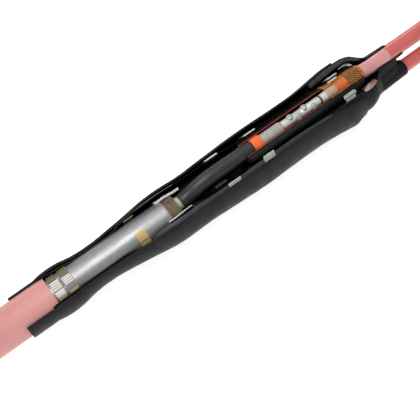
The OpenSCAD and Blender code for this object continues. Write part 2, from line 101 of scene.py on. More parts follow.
def material(name, base, other, rough=(0.4, 0.5), metal=0.0, spec=0.5, scale=45, stretch=(1, 1, 1), contrast=(0.35, 0.65),
             bump=0.2, bump_scale=420, bump_stretch=(1, 1, 1), bump_mm=0.25, coat=0.0, sheen=0.0, grain=None):
    m = bpy.data.materials.new(name)
    m.use_nodes = True
    t = m.node_tree
    b = t.nodes["Principled BSDF"]
    b.inputs["Metallic"].default_value = metal
    b.inputs["Specular IOR Level"].default_value = spec
    if coat:
        b.inputs["Coat Weight"].default_value = coat
        b.inputs["Coat Roughness"].default_value = 0.15
    if sheen:
        b.inputs["Sheen Weight"].default_value = sheen
    tc = t.nodes.new("ShaderNodeTexCoord")

    def noise_node(sc, st, detail=5.0, dist=0.0):
        mp = t.nodes.new("ShaderNodeMapping")
        mp.inputs["Scale"].default_value = st
        t.links.new(tc.outputs["Object"], mp.inputs["Vector"])
        n = t.nodes.new("ShaderNodeTexNoise")
        n.inputs["Scale"].default_value = sc
        n.inputs["Detail"].default_value = detail
        n.inputs["Distortion"].default_value = dist
        t.links.new(mp.outputs["Vector"], n.inputs["Vector"])
        return n

    n1 = noise_node(scale, stretch)
    ramp = t.nodes.new("ShaderNodeValToRGB")
    ramp.color_ramp.elements[0].position = contrast[0]
    ramp.color_ramp.elements[0].color = base
    ramp.color_ramp.elements[1].position = contrast[1]
    ramp.color_ramp.elements[1].color = other
    t.links.new(n1.outputs["Fac"], ramp.inputs["Fac"])
    last = ramp.outputs["Color"]
    if grain:
        # fine second layer: (scale, stretch, colour, how much)
        n4 = noise_node(grain[0], grain[1], 3.0)
        r4 = t.nodes.new("ShaderNodeMapRange")
        r4.inputs["From Min"].default_value = 0.45
        r4.inputs["From Max"].default_value = 0.7
        r4.inputs["To Max"].default_value = grain[3]
        t.links.new(n4.outputs["Fac"], r4.inputs["Value"])
        mx = t.nodes.new("ShaderNodeMix")
        mx.data_type = "RGBA"
        mx.inputs[7].default_value = grain[2]
        t.links.new(r4.outputs["Result"], mx.inputs[0])
        t.links.new(last, mx.inputs[6])
        last = mx.outputs[2]
    t.links.new(last, b.inputs["Base Color"])
    n2 = noise_node(scale * 1.7, stretch, 3.0)
    mr = t.nodes.new("ShaderNodeMapRange")
    mr.inputs["From Min"].default_value = 0.3
    mr.inputs["From Max"].default_value = 0.7
    mr.inputs["To Min"].default_value = rough[0]
    mr.inputs["To Max"].default_value = rough[1]
    t.links.new(n2.outputs["Fac"], mr.inputs["Value"])
    t.links.new(mr.outputs["Result"], b.inputs["Roughness"])
    if bump:
        n3 = noise_node(bump_scale, bump_stretch, 4.0)
        bp = t.nodes.new("ShaderNodeBump")
        bp.inputs["Strength"].default_value = bump
        bp.inputs["Distance"].default_value = bump_mm / 1000
        t.links.new(n3.outputs["Fac"], bp.inputs["Height"])
        t.links.new(bp.outputs["Normal"], b.inputs["Normal"])
    return m


M = {
    "sleeve": material("black_sleeve", lin(17, 17, 19), lin(25, 25, 27), (0.42, 0.58), spec=0.2, scale=26, bump=0.5, bump_scale=90, bump_stretch=(0.5, 1, 1), bump_mm=0.5),
    # the cut faces are as black as the sleeve; this lighter grey is painted light, for cut faces lit from above
    "sleeve_cut_painted_light": material("black_sleeve_cut", lin(46, 47, 49), lin(58, 59, 61), (0.6, 0.75), spec=0.1, scale=120, bump=0.3, bump_scale=700),
    # the inner sleeve is black; this grey is painted light, standing for the light falling on its outer surface
    "inner_sleeve_painted_light": material("inner_sleeve_lit_painted", lin(92, 94, 99), lin(116, 118, 123), (0.45, 0.6), spec=0.3, scale=30, stretch=(0.4, 1, 1), bump=0.4, bump_scale=110, bump_stretch=(0.5, 1, 1), bump_mm=0.3),
    # near black, painted shade on the inner faces of sleeves, shells and the pale bands
    "inside": material("painted_shade_inside", lin(13, 12, 12), lin(20, 19, 19), (0.6, 0.75), spec=0.1, scale=40, bump=0.3, bump_scale=200),
    "rubber": material("black_rubber", lin(23, 24, 25), lin(32, 33, 34), (0.52, 0.66), spec=0.11, scale=30, bump=0.35, bump_scale=160, bump_mm=0.3),
    # the breakout's rubber is black throughout; this lighter grey on its cut faces is painted light
    "rubber_cut_painted_light": material("black_rubber_cut", lin(62, 62, 64), lin(76, 76, 78), (0.5, 0.65), spec=0.25, scale=90, bump=0.4, bump_scale=500),
    "tube": material("black_tube", lin(43, 44, 45), lin(51, 52, 53), (0.34, 0.46), spec=0.42, scale=35, bump=0.35, bump_scale=120, bump_mm=0.3),
    "body": material("black_body", lin(36, 38, 39), lin(46, 48, 49), (0.42, 0.54), spec=0.24, scale=35, bump=0.4, bump_scale=140, bump_mm=0.3),
    # the body's cut faces, darker than its own black as painted shade
    "tube_cut_painted_shade": material("black_tube_cut", lin(16, 16, 17), lin(24, 24, 25), (0.6, 0.7), spec=0.12, scale=120, bump=0.3, bump_scale=700),
    "pink": material("pink_oversheath", lin(214, 146, 144), lin(224, 158, 155), (0.42, 0.52), spec=0.3, scale=22, stretch=(0.4, 1, 1), bump=0.25, bump_scale=60, bump_stretch=(0.25, 1, 1), bump_mm=0.5,
                     grain=(900, (1, 1, 1), lin(190, 120, 118), 0.25)),
    "lead": material("lead", lin(153, 154, 157), lin(169, 169, 171), (0.38, 0.48), metal=0.7, spec=0.5, scale=30, stretch=(0.25, 1, 1), bump=0.35, bump_scale=40, bump_stretch=(0.4, 1, 1), bump_mm=0.6,
                     grain=(420, (0.2, 1, 1), lin(128, 129, 132), 0.4)),
    "brown": material("brown_paper", lin(84, 68, 50), lin(116, 99, 76), (0.5, 0.65), scale=75, stretch=(1, 0.6, 0.6), contrast=(0.3, 0.6), bump=0.4, bump_scale=300, grain=(700, (1, 0.2, 0.2), lin(70, 56, 40), 0.5)),
    "filler": material("filler", lin(126, 104, 74), lin(158, 136, 100), (0.7, 0.85), scale=160, bump=0.8, bump_scale=900, bump_mm=0.4),
    "white": material("white_film", lin(236, 236, 230), lin(244, 244, 240), (0.4, 0.55), scale=70, bump=0.25, bump_scale=500),
    "beige": material("beige_tape", lin(182, 176, 160), lin(196, 190, 175), (0.55, 0.7), scale=90, bump=0.5, bump_scale=900, bump_mm=0.2, grain=(1200, (1, 0.3, 0.3), lin(160, 152, 134), 0.4)),
    # the springs' bronze darkened as painted shade; the next one is the same bronze lightened as painted light for the
    # near side
    "khaki": material("khaki_spring", lin(120, 112, 84), lin(138, 129, 98), (0.42, 0.54), metal=0.3, scale=80, stretch=(0.3, 1, 1), bump=0.2, bump_scale=400, grain=(900, (0.15, 1, 1), lin(100, 93, 66), 0.4)),
    "khaki_lit": material("spring_painted_light", lin(192, 172, 116), lin(206, 186, 130), (0.42, 0.54), metal=0.2, scale=80, stretch=(0.3, 1, 1), bump=0.2, bump_scale=400, grain=(900, (0.15, 1, 1), lin(160, 142, 92), 0.4)),
    "gold": material("gold_spring", lin(214, 188, 122), lin(202, 176, 110), (0.42, 0.54), metal=0.2, scale=60, bump=0.2, bump_scale=300, grain=(900, (1, 0.15, 0.15), lin(176, 152, 98), 0.35)),
    # the gold spring darkened as painted shade, for its far end
    "gold_painted_shade": material("gold_spring_back_painted_shade", lin(138, 122, 88), lin(150, 134, 98), (0.5, 0.6), metal=0.3, scale=60, bump=0.2, bump_scale=300),
    "braid": material("tinned_braid", lin(212, 205, 198), lin(224, 218, 210), (0.45, 0.58), metal=0.15, scale=200, stretch=(0.2, 1, 1), bump=0.4, bump_scale=1200, bump_stretch=(0.3, 1, 1)),
    # the next two are painted shade: the shadow round and between the braid pads, and the shade between the ribs
    "braid_painted_shadow": material("braid_painted_shade", lin(118, 116, 112), lin(134, 132, 128), (0.5, 0.6), scale=200, bump=0.4, bump_scale=1200),
    "braid_painted_shade": material("braid_rib_painted_shade", lin(162, 157, 150), lin(176, 171, 164), (0.5, 0.6), scale=200, bump=0.4, bump_scale=1200),
    # a painted highlight: the bright spot on the lead sheath beside the first braid pad
    "tinned": material("tinned_plate", lin(226, 226, 226), lin(238, 238, 238), (0.35, 0.45), metal=0.3, scale=120, bump=0.2, bump_scale=700),
    "band": material("pale_band", lin(240, 240, 231), lin(248, 248, 241), (0.5, 0.65), scale=80, bump=0.5, bump_scale=1100, bump_mm=0.2),
    # the pale band darkened as painted shade, for the inner band deep among the cores
    "band_painted_shade": material("pale_band_painted_shade", lin(100, 97, 88), lin(116, 113, 103), (0.6, 0.7), scale=80, bump=0.5, bump_scale=1100, bump_mm=0.2),
    "bolt": material("bolt_metal", lin(176, 181, 186), lin(192, 196, 200), (0.4, 0.52), metal=0.35, scale=220, bump=0.2, bump_scale=1500),
    # dark grey painted shadow, for the narrow gap at the connector's end
    "gap_painted_shadow": material("gap_painted_shadow", lin(74, 74, 76), lin(92, 92, 94), (0.5, 0.6), scale=220, bump=0.2, bump_scale=1500),
    "orange_l": material("orange_mastic", lin(244, 106, 42), lin(250, 118, 52), (0.38, 0.5), scale=60, bump=0.4, bump_scale=260, bump_mm=0.3),
    "orange_r": material("orange_mastic_right", lin(200, 98, 34), lin(212, 110, 44), (0.4, 0.52), scale=60, bump=0.4, bump_scale=260, bump_mm=0.3),
    "copper": material("conductor_copper", lin(196, 120, 84), lin(214, 140, 100), (0.26, 0.38), metal=0.95, scale=180, bump=0.2, bump_scale=900),
    "grey": material("grey_paper", lin(172, 165, 155), lin(184, 177, 167), (0.55, 0.7), scale=70, bump=0.4, bump_scale=600, bump_mm=0.15, grain=(420, (1, 0.12, 0.12), lin(150, 143, 133), 0.35)),
    "connector": material("connector_metal", lin(232, 228, 222), lin(242, 239, 234), (0.3, 0.4), metal=0.45, scale=70, stretch=(0.2, 1, 1), bump=0.15, bump_scale=500, bump_stretch=(1, 0.1, 0.1),
                          grain=(1400, (1, 0.1, 0.1), lin(206, 204, 200), 0.3)),
    "xlpe": material("white_insulation", lin(214, 211, 217), lin(224, 222, 227), (0.36, 0.46), scale=60, bump=0.15, bump_scale=400),
    "semicon": material("bonded_screen", lin(40, 40, 42), lin(52, 52, 54), (0.5, 0.6), scale=60, bump=0.3, bump_scale=500),
    "tan": material("tan_tube", lin(188, 158, 128), lin(200, 170, 140), (0.4, 0.5), scale=70, bump=0.25, bump_scale=300),
    "mesh_base": material("mesh_base", lin(66, 62, 46), lin(88, 78, 54), (0.5, 0.6), metal=0.2, scale=200, bump=0.3, bump_scale=900),
    "mesh_wire": material("mesh_wire", lin(188, 114, 36), lin(208, 134, 52), (0.4, 0.52), metal=0.35, scale=220, bump=0.2, bump_scale=1500),
    "mesh_edge": material("mesh_edge", lin(192, 112, 34), lin(216, 142, 58), (0.5, 0.65), metal=0.2, scale=160, stretch=(0.6, 1, 1), contrast=(0.4, 0.6), bump=0.9, bump_scale=420, bump_mm=0.5,
                          grain=(700, (1, 1, 1), lin(110, 80, 38), 0.7)),
    "liner": material("red_liner", lin(168, 66, 48), lin(186, 80, 58), (0.5, 0.6), spec=0.3, scale=60, bump=0.3, bump_scale=300),
    # near black, painted shade: used for the red liner's bore and for the inner sleeve's shaded far rim
    "painted_shade_dark": material("painted_shade_dark_red", lin(14, 12, 12), lin(24, 18, 18), (0.55, 0.7), spec=0.15, scale=60, bump=0.3, bump_scale=300),
    # white film brightened as painted light, for the wrap's pale edges that lie in shade
    "white_painted_light": material("white_film_painted_light", lin(246, 245, 237), lin(250, 249, 243), (0.4, 0.5), spec=0.3, scale=60, bump=0.1, bump_scale=300),
    "pinkm": material("pink_mastic", lin(218, 150, 150), lin(228, 164, 162), (0.38, 0.5), scale=40, bump=0.4, bump_scale=110, bump_mm=0.5),
    "jacket": material("red_jacket", lin(205, 98, 92), lin(216, 112, 104), (0.32, 0.42), spec=0.5, scale=24, stretch=(0.4, 1, 1), bump=0.2, bump_scale=90, bump_stretch=(0.3, 1, 1), bump_mm=0.4),
}


def along_x(key, dark, x0, x1):
    """turns a material's colour to a darker one below x0, fully its own above x1"""
    t = M[key].node_tree
    b = t.nodes["Principled BSDF"]
    src = b.inputs["Base Color"].links[0].from_socket
    tc = t.nodes.new("ShaderNodeTexCoord")
    sx = t.nodes.new("ShaderNodeSeparateXYZ")
    mr = t.nodes.new("ShaderNodeMapRange")
    mr.inputs["From Min"].default_value = x0
    mr.inputs["From Max"].default_value = x1
    mx = t.nodes.new("ShaderNodeMix")
    mx.data_type = "RGBA"
    mx.inputs[6].default_value = dark
    t.links.new(tc.outputs["Object"], sx.inputs[0])
    t.links.new(sx.outputs["X"], mr.inputs["Value"])
    t.links.new(mr.outputs["Result"], mx.inputs[0])
    t.links.new(src, mx.inputs[7])
    t.links.new(mx.outputs[2], b.inputs["Base Color"])


# the inner sleeve's painted light fades back to its own black towards the left end
along_x("inner_sleeve_painted_light", lin(20, 20, 22), -0.21, -0.14)

# ------------------------------------------------------------------ mesh helpers


def piece(name, verts, faces, mats, nodes=(), sharp=35, face_mat=None):
    v = np.array(verts, float)
    v[:, 2] += AXIS
    v *= 0.001
    me = bpy.data.meshes.new(name)
    me.from_pydata(v.tolist(), [], [tuple(int(i) for i in f) for f in faces])
    for m in (mats if isinstance(mats, (list, tuple)) else [mats]):
        me.materials.append(M[m])
    if face_mat is not None:
        fm = np.array(face_mat, np.int32)
        fm[fm >= len(me.materials)] = 0
        me.polygons.foreach_set("material_index", fm)
    bm = bmesh.new()
    bm.from_mesh(me)
    bmesh.ops.remove_doubles(bm, verts=bm.verts, dist=1e-7)
    bmesh.ops.recalc_face_normals(bm, faces=bm.faces)
    bm.to_mesh(me)
    bm.free()
    me.shade_smooth()
    me.set_sharp_from_angle(angle=math.radians(sharp))
    o = bpy.data.objects.new(name, me)
    scene.collection.objects.link(o)
    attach(o, "root")
    if nodes:
        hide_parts(*nodes)
    return o


class Soup:
    """Collects several bodies into one mesh."""

    def __init__(self):
        self.v, self.f, self.m = [], [], []

    def add(self, verts, faces, mat=0):
        k = len(self.v)
        self.v.extend([tuple(p) for p in verts])
        self.f.extend([tuple(i + k for i in f) for f in faces])
        self.m.extend([mat] * len(faces) if isinstance(mat, int) else list(mat))


def pchip(xs, ys):
    xs, ys = np.array(xs, float), np.array(ys, float)
    h = np.diff(xs)
    d = np.diff(ys) / h
    s = np.zeros(len(xs))
    for i in range(1, len(xs) - 1):
        if d[i - 1] * d[i] > 0:
            w1, w2 = 2 * h[i] + h[i - 1], h[i] + 2 * h[i - 1]
            s[i] = (w1 + w2) / (w1 / d[i - 1] + w2 / d[i])
    s[0], s[-1] = d[0], d[-1]

    def f(x):
        x = min(max(x, xs[0]), xs[-1])
        i = int(min(np.searchsorted(xs, x, side="right") - 1, len(h) - 1))
        t = (x - xs[i]) / h[i]
        return float((2 * t**3 - 3 * t**2 + 1) * ys[i] + (t**3 - 2 * t**2 + t) * h[i] * s[i]
                     + (-2 * t**3 + 3 * t**2) * ys[i + 1] + (t**3 - t**2) * h[i] * s[i + 1])
    return f


# where a core runs
RL, RM, RR = 15.3, 35.3, 28.6
XA0, XA1, XB0, XB1 = -112.0, -12.0, 325.0, 412.0
RA = ((XA1 - XA0) ** 2 + (RM - RL) ** 2) / (4 * (RM - RL))
RB = ((XB1 - XB0) ** 2 + (RM - RR) ** 2) / (4 * (RM - RR))


def core_line(x):
    """height over the axis and slope (radians) at x"""
    if x <= XA0:
        return RL, 0.0
    if x <= (XA0 + XA1) / 2:
        return RL + RA - math.sqrt(RA**2 - (x - XA0) ** 2), math.asin((x - XA0) / RA)
    if x <= XA1:
        return RM - RA + math.sqrt(RA**2 - (XA1 - x) ** 2), math.asin((XA1 - x) / RA)
    if x <= XB0:
        return RM, 0.0
    if x <= (XB0 + XB1) / 2:
        return RM - RB + math.sqrt(RB**2 - (x - XB0) ** 2), -math.asin((x - XB0) / RB)
    if x <= XB1:
        return RR + RB - math.sqrt(RB**2 - (XB1 - x) ** 2), -math.asin((XB1 - x) / RB)
    return RR, 0.0


def on_axis(x):
    return 0.0, 0.0


def spin(p, phase):
    a = PHASE[phase] * DEG if isinstance(phase, str) else phase * DEG
    c, s = math.cos(a), math.sin(a)
    return (p[0], p[1] * c - p[2] * s, p[1] * s + p[2] * c)


def soften(poly, default=0.0, seg=3):
    out = []
    n = len(poly)
    for i, p in enumerate(poly):
        a, b = poly[i - 1], poly[(i + 1) % n]
        f = p[2] if len(p) > 2 else default
        q = np.array(p[:2], float)
        if f <= 0 or p[1] < 1e-6:
            out.append((float(q[0]), float(q[1])))
            continue
        u, v = np.array(a[:2], float) - q, np.array(b[:2], float) - q
        lu, lv = np.linalg.norm(u), np.linalg.norm(v)
        t = min(f, 0.48 * lu, 0.48 * lv)
        c0, c1 = q + u / lu * t, q + v / lv * t
        for k in range(seg + 1):
            w = k / seg
            r = (1 - w) ** 2 * c0 + 2 * w * (1 - w) * q + w**2 * c1
            out.append((float(r[0]), float(r[1])))
    return out


def dense(poly, step, closed=True):
    out = []
    n = len(poly)
    for i in range(n if closed else n - 1):
        p, q = poly[i], poly[(i + 1) % n]
        out.append(p)
        k = int(abs(q[0] - p[0]) / step)
        for j in range(1, k + 1):
            w = j / (k + 1)
            out.append((p[0] + (q[0] - p[0]) * w, p[1] + (q[1] - p[1]) * w))
    if not closed:
        out.append(poly[-1])
    return out


def turned(profile, line=on_axis, phase=0, n=64, arc=None, soft=0.0, step=1e9, wob=None, shift=(0.0, 0.0), seg=3):
    """Body of revolution of a closed profile [(x, r)] along a line; arc gives the angles of a C-shaped one."""
    pr = dense(soften(profile, soft, seg), step)
    m = len(pr)
    if arc:
        th = np.linspace(arc[0], arc[1], n + 1) * DEG
    else:
        th = np.arange(n) * 2 * math.pi / n
    k = len(th)
    verts = []
    for x, r in pr:
        h, s = line(x)
        ss, cs = math.sin(s), math.cos(s)
        for t in th:
            rr = r + (wob(x, t, r) if wob and r > 0 else 0.0)
            verts.append(spin((x - rr * math.cos(t) * ss, -rr * math.sin(t) + shift[0], h + rr * math.cos(t) * cs + shift[1]), phase))
    faces = []
    for j in range(m):
        j2 = (j + 1) % m
        if pr[j][1] < 1e-6 and pr[j2][1] < 1e-6:
            continue
        for i in range(k if not arc else k - 1):
            i2 = (i + 1) % k
            f = [j * k + i, j * k + i2, j2 * k + i2, j2 * k + i]
            if pr[j][1] < 1e-6:
                f = [j * k, j2 * k + i2, j2 * k + i]
            elif pr[j2][1] < 1e-6:
                f = [j * k + i, j * k + i2, j2 * k]
            faces.append(f)
    if arc:
        faces.append([j * k for j in range(m)])
        faces.append([j * k + k - 1 for j in range(m)][::-1])
    return verts, faces


def hug(R, rb, t):
    """radius, at angle t (degrees), of the skin stretched round three circles"""
    u = t % 120.0
    f = 120.0 - u if u > 60 else u
    lim = math.degrees(math.atan2(rb * math.sin(60 * DEG), R + rb * math.cos(60 * DEG)))
    if f <= lim:
        return R * math.cos(f * DEG) + math.sqrt(max(rb**2 - (R * math.sin(f * DEG)) ** 2, 0))
    return (R * 0.5 + rb) / math.cos((60 - f) * DEG)


def rnd(x, t, size, seed=0.0):
    """smooth noise over a sleeve's surface, about -1 to 1"""
    return noise.noise(Vector((x / size + seed, math.cos(t * DEG) * 60 / size, math.sin(t * DEG) * 60 / size)))


def shell(xs, outer, inner, near, far, n=120, bevel=0.7, end_bevel=0.6, lips=3):
    """Open C-shaped sleeve. outer(x, t), inner(x, t) give radii; near(x), far(x) the two edges' angles.
    Returns vertices, faces and what each face is: 0 outside, 1 cut, 2 inside."""
    xs = list(xs)
    st = [(xs[0], end_bevel)] + [(x, 0.0) for x in xs] + [(xs[-1], end_bevel)]
    st[1] = (xs[0] + end_bevel, 0.0)
    st[-2] = (xs[-1] - end_bevel, 0.0)
    rings = []
    for x, b in st:
        t0, t1 = near(x), 360 - far(x)
        mid_t = np.linspace(t0, t1, n + 1)
        ring = []
        lo = []
        for i, t in enumerate(mid_t):
            e0, e1 = i == 0, i == n
            ro, ri = outer(x, t) - b, inner(x, t) + b
            bv = min(bevel, 0.45 * (ro - ri))
            if e0 or e1:
                sgn = 1 if e0 else -1
                da = lambda r, k: sgn * (bv * k / r) / DEG
                ring_part = [(ro - bv, t), (ro - 0.3 * bv, t + da(ro, 0.3)), (ro, t + da(ro, 1.0))]
                low_part = [(ri + bv, t), (ri + 0.3 * bv, t + da(ri, 0.3)), (ri, t + da(ri, 1.0))]
                if e1:
                    ring_part.reverse()
                    low_part.reverse()
                ring += ring_part
                lo += low_part
            else:
                ring.append((ro, t))
                lo.append((ri, t))
        rings.append([(x, -r * math.sin(t * DEG), r * math.cos(t * DEG)) for r, t in ring + lo[::-1]])
    w = len(rings[0])
    half = w // 2
    verts = [p for r in rings for p in r]
    faces, mats = [], []
    for j in range(len(rings) - 1):
        for i in range(w):
            i2 = (i + 1) % w
            faces.append((j * w + i, j * w + i2, (j + 1) * w + i2, (j + 1) * w + i))
            mats.append(1 if i in (half - 1, w - 1) else 0 if i < half else 2)
    for base, flip in ((0, False), ((len(rings) - 1) * w, True)):
        for i in range(half - 1):
            f = (base + i, base + i + 1, base + w - 2 - i, base + w - 1 - i)
            faces.append(f[::-1] if flip else f)
            mats.append(1)
    return verts, faces, mats


def steps(x0, x1, d):
    return list(np.linspace(x0, x1, max(2, int(round((x1 - x0) / d)) + 1)))


# ------------------------------------------------------------------ the shells' tables
OUTER = [
    (-465, 45.1, 0, 40.1, 54.5), (-411, 45.1, 0, 40.1, 54), (-406, 46, 0, 42.7, 54),
    (-392, 48.2, 0, 43.3, 53), (-376, 49, 0, 44.2, 52), (-353, 47.4, 0, 42.6, 53),
    (-336, 44.3, 0, 39.4, 54), (-321, 42.3, 0, 37.3, 56), (-300, 41.3, 0, 36.3, 57),
    (-280, 41.5, 0, 36.5, 57), (-261, 42.8, 0, 37.8, 56.5), (-241, 44.8, 0.1, 39.9, 55.5),
    (-222, 46.9, 0.6, 42.1, 54.5), (-203, 49.3, 0.9, 44.6, 53.5), (-183, 52, 1.2, 47.5, 53),
    (-164, 54.7, 1.7, 50.3, 52.5), (-145, 56.7, 2.2, 52.5, 52), (-125, 57.6, 2.7, 53.5, 53),
    (-105, 57.2, 2.9, 53.1, 53.5), (-84, 56.4, 3.2, 52.4, 54), (-60, 56.1, 3.4, 52.1, 54),
    (-30, 57.4, 3.2, 53.5, 52), (17, 59.5, 3.3, 55.7, 50.5), (58, 61.2, 3.4, 57.5, 50),
    (95, 61.7, 3.4, 58, 50), (130, 61.1, 3.4, 57.4, 50), (170, 60.4, 3.4, 56.7, 50.5),
    (215, 60.6, 3.4, 56.9, 51), (250, 62.8, 3.4, 59.2, 50.5), (272, 64.9, 3.3, 61.4, 51),
    (294, 67.3, 3.5, 64.1, 52), (310, 69, 3.5, 65.9, 53), (325, 67.0, 1.6, 64.2, 55),
    (336, 66, 0.4, 62.7, 56),
]
INNER = [
    (-405.5, 0, 40.15, 2.2, 50), (-398, 0, 40.15, 2.2, 48), (-390, 0, 40.2, 2.2, 47),
    (-376, 0, 39.2, 2.2, 47), (-353, 0, 37.8, 2.2, 48), (-336, 0, 35.2, 2.2, 49),
    (-321, 0, 33.5, 2.2, 50), (-300, 0, 33.3, 2.2, 50), (-260, 0, 33.3, 2.2, 50),
    (-241, 0, 33.6, 2.2, 49.5), (-222, 0, 38, 2, 51), (-208, 0, 40.8, 1.9, 54),
    (-184, 0, 44, 1.8, 54.5), (-168, 1.2, 44.8, 1.8, 46), (-145, 4, 44, 1.8, 45),
    (-125, 8, 42, 1.8, 45.5), (-105, 12, 39, 1.7, 46), (-84, 16, 36, 1.7, 46.5),
    (-60, 19.5, 32.8, 1.6, 47), (-30, 21.6, 31.9, 1.5, 47), (-8, 22.5, 31.8, 1.5, 47),
    (30, 22.5, 31.8, 1.5, 47), (48, 29.5, 27, 1.5, 47), (60, 34.6, 23.3, 1.5, 47),
    (66, 35.3, 22.6, 1.5, 47), (120, 35.3, 22.6, 1.5, 47), (185, 35.3, 22.6, 1.5, 47),
    (250, 35.3, 22.6, 1.5, 47.5), (266, 35.3, 22.6, 1.5, 48.5),
]
PALM = [
    (258, 59.7, 3.4, 57, 49), (272, 61.1, 3.3, 58.3, 49), (294, 63.6, 3.5, 59.7, 50),
    (310, 65.3, 3.5, 61.2, 51), (325, 63.9, 1.6, 60.5, 53), (336, 62.5, 0.4, 59.7, 54),
    (346, 62, 0, 59.9, 52), (356, 61.7, 0, 59.7, 50.5), (366, 59.6, 0, 57.4, 50),
    (376, 56.2, 0, 53.2, 50), (386, 52.6, 0, 49.2, 49), (395, 50.2, 0, 45.8, 44),
    (401, 48.8, 0, 44.0, 34), (403, 48.4, 0, 43.8, 33),
]


def columns(table):
    t = np.array(table, float)
    return [pchip(t[:, 0], t[:, i]) for i in range(1, t.shape[1])]


# outer sleeve
oo, oa, oi, ow = columns(OUTER)
near_w = lambda x: ow(x) + 0.5 * rnd(x, 0, 70, 3.1) + 1.4 * min(max((x + 90) / 60, 0), 1) * min(max((300 - x) / 40, 0), 1)
far_w = lambda x: ow(x) + 0.5 * rnd(x, 0, 70, 8.7)
lump = lambda x, t: 0.35 * rnd(x, t, 45, 1.0) + 0.12 * rnd(x, t, 14, 5.0)
o_out = lambda x, t: oo(x) + oa(x) * math.cos(3 * t * DEG) + lump(x, t)
o_in = lambda x, t: oi(x) + oa(x) * math.cos(3 * t * DEG) + 0.3 * lump(x, t)
v, f, m = shell(steps(-465, 336, 4.5), o_out, o_in, near_w, far_w, n=110)
piece("outer_sleeve_skin", v, f, ["sleeve", "sleeve_cut_painted_light", "inside"], ["outer_sleeve"], face_mat=m)

# inner sleeve
ir, ic, iw, it = columns(INNER)
i_near = lambda x: it(x) + 0.5 * rnd(x, 0, 50, 12.3) + 2.6 * min(max((x + 90) / 60, 0), 1) + 9.0 * min(max((x - 180) / 84, 0), 1) ** 1.4
i_far = lambda x: it(x) + 0.5 * rnd(x, 0, 50, 17.9)
i_out = lambda x, t: hug(ir(x), ic(x) + iw(x), t)
i_in = lambda x, t: hug(ir(x), ic(x), t)
v, f, m = shell(steps(-405.5, 264, 4.5), i_out, i_in, i_near, i_far, n=110, bevel=0.4, end_bevel=0.4)
for k, fc in enumerate(f):
    # the far rim lies in the shade of the outer sleeve, so its faces get a near-black material as painted shade
    q = np.mean([v[i] for i in fc], axis=0)
    if q[1] > 0 and q[0] > -85 and m[k] != 2:
        m[k] = 3
piece("inner_sleeve_skin", v, f, ["inner_sleeve_painted_light", "sleeve_cut_painted_light", "inside", "painted_shade_dark"], ["inner_sleeve"], face_mat=m)

# breakout: palm
po, pa, pi_, pw = columns(PALM)
pn = pchip([258, 285, 300, 330, 345, 358, 366, 376, 386, 395, 401, 403], [49, 47.5, 44.8, 45.2, 49.5, 50.5, 49.5, 49.5, 48.5, 46.5, 40, 36])


def palm_mix(x):
    return min(max((x - 372) / 31, 0), 1) ** 1.6


def p_out(x, t):
    w = palm_mix(x)
    return ((1 - w) * (po(x) + pa(x) * math.cos(3 * t * DEG)) + w * hug(RR, 19.8, t))


def p_in(x, t):
    w = palm_mix(x)
    u = min(max(1 - (360 - pw(x) - t) / 20, 0), 1) * min(max((397 - x) / 12, 0), 1)
    return (1 - w) * (pi_(x) + pa(x) * math.cos(3 * t * DEG) - 9.0 * u * u * (3 - 2 * u)) + w * hug(RR, 15.6, t)


v, f, m = shell(steps(266, 403, 2.4), p_out, lambda x, t: min(p_in(x, t), p_out(x, t) - 1.6), pn, pw, n=120, bevel=1.0, end_bevel=0.8)
s = Soup()
s.add(v, f, m)
# the web between the fingers
for_web = []
tw = 33.0
ang = np.linspace(tw, 360 - tw, 91)
web = []
for x, k in ((401, 0.9), (403, 0.965), (408, 0.98), (414, 0.97), (421, 0.95), (429, 0.93), (437, 0.9), (443, 0.87), (449, 0.83), (453, 0.79)):
    kk = lambda t: k * (1 - 0.1 * max(0, 1 - abs((t % 120) - 60) / 14) * min(max((x - 402) / 16, 0), 1))
    web.append([(x, -hug(RR, 19.8, t) * kk(t) * math.sin(t * DEG), hug(RR, 19.8, t) * kk(t) * math.cos(t * DEG)) for t in ang])
wv = [p for r in web for p in r]
nn = len(ang)
wf = []
for j in range(9):
    for i in range(nn):
        i2 = (i + 1) % nn
        wf.append((j * nn + i, j * nn + i2, (j + 1) * nn + i2, (j + 1) * nn + i))
wv += [(401, 0, 0), (453.5, 0, 0)]
for i in range(nn):
    i2 = (i + 1) % nn
    wf.append((i, len(wv) - 2, i2))
    wf.append((9 * nn + i, 9 * nn + i2, len(wv) - 1))
s.add(wv, wf, 0)
# fingers: the top one keeps only its lower part
right_line = lambda x: (RR, 0.0)
finger = [(399, 15.1), (399, 17.8), (403, 19.4, 2), (409, 19.8, 4), (424, 19.1), (450, 18.2), (471, 17.8, 1.6), (471, 15.1, 0.6)]
for ph in "abc":
    v, f = turned(finger, right_line, ph, n=64, arc=(88, 256) if ph == "a" else None, step=6)
    s.add(v, f, 0)
piece("outlet_breakout_skin", s.v, s.f, ["rubber", "rubber_cut_painted_light", "inside"], ["outlet_breakout"], face_mat=s.m)

# ------------------------------------------------------------------ the three-core cable
wob_pink = lambda x, t, r: 0.18 * noise.noise(Vector((x / 40, math.cos(t) * 1.3, math.sin(t) * 1.3))) if r > 36 else 0.0
v, f = turned([(-580, 33.05), (-580, 40, 0.8), (-392, 40, 1.6), (-392, 33.05)], n=96, step=8, wob=wob_pink)
piece("three_core_oversheath_skin", v, f, "pink", ["three_core_oversheath"])
wob_lead = lambda x, t, r: 0.14 * noise.noise(Vector((x / 24, math.cos(t) * 1.6, math.sin(t) * 1.6))) if r > 32 else 0.0
v, f = turned([(-580, 30.65), (-580, 33, 0.3), (-126, 33, 0.8), (-126, 30.65)], n=96, step=7, wob=wob_lead)
piece("lead_sheath_skin", v, f, "lead", ["lead_sheath"])
v, f = turned([(-580, 28.25), (-580, 30.6, 0.2), (-102, 30.6, 0.6), (-102, 28.25)], n=96, step=7)
piece("belt_paper_skin", v, f, "brown", ["belt_paper"])
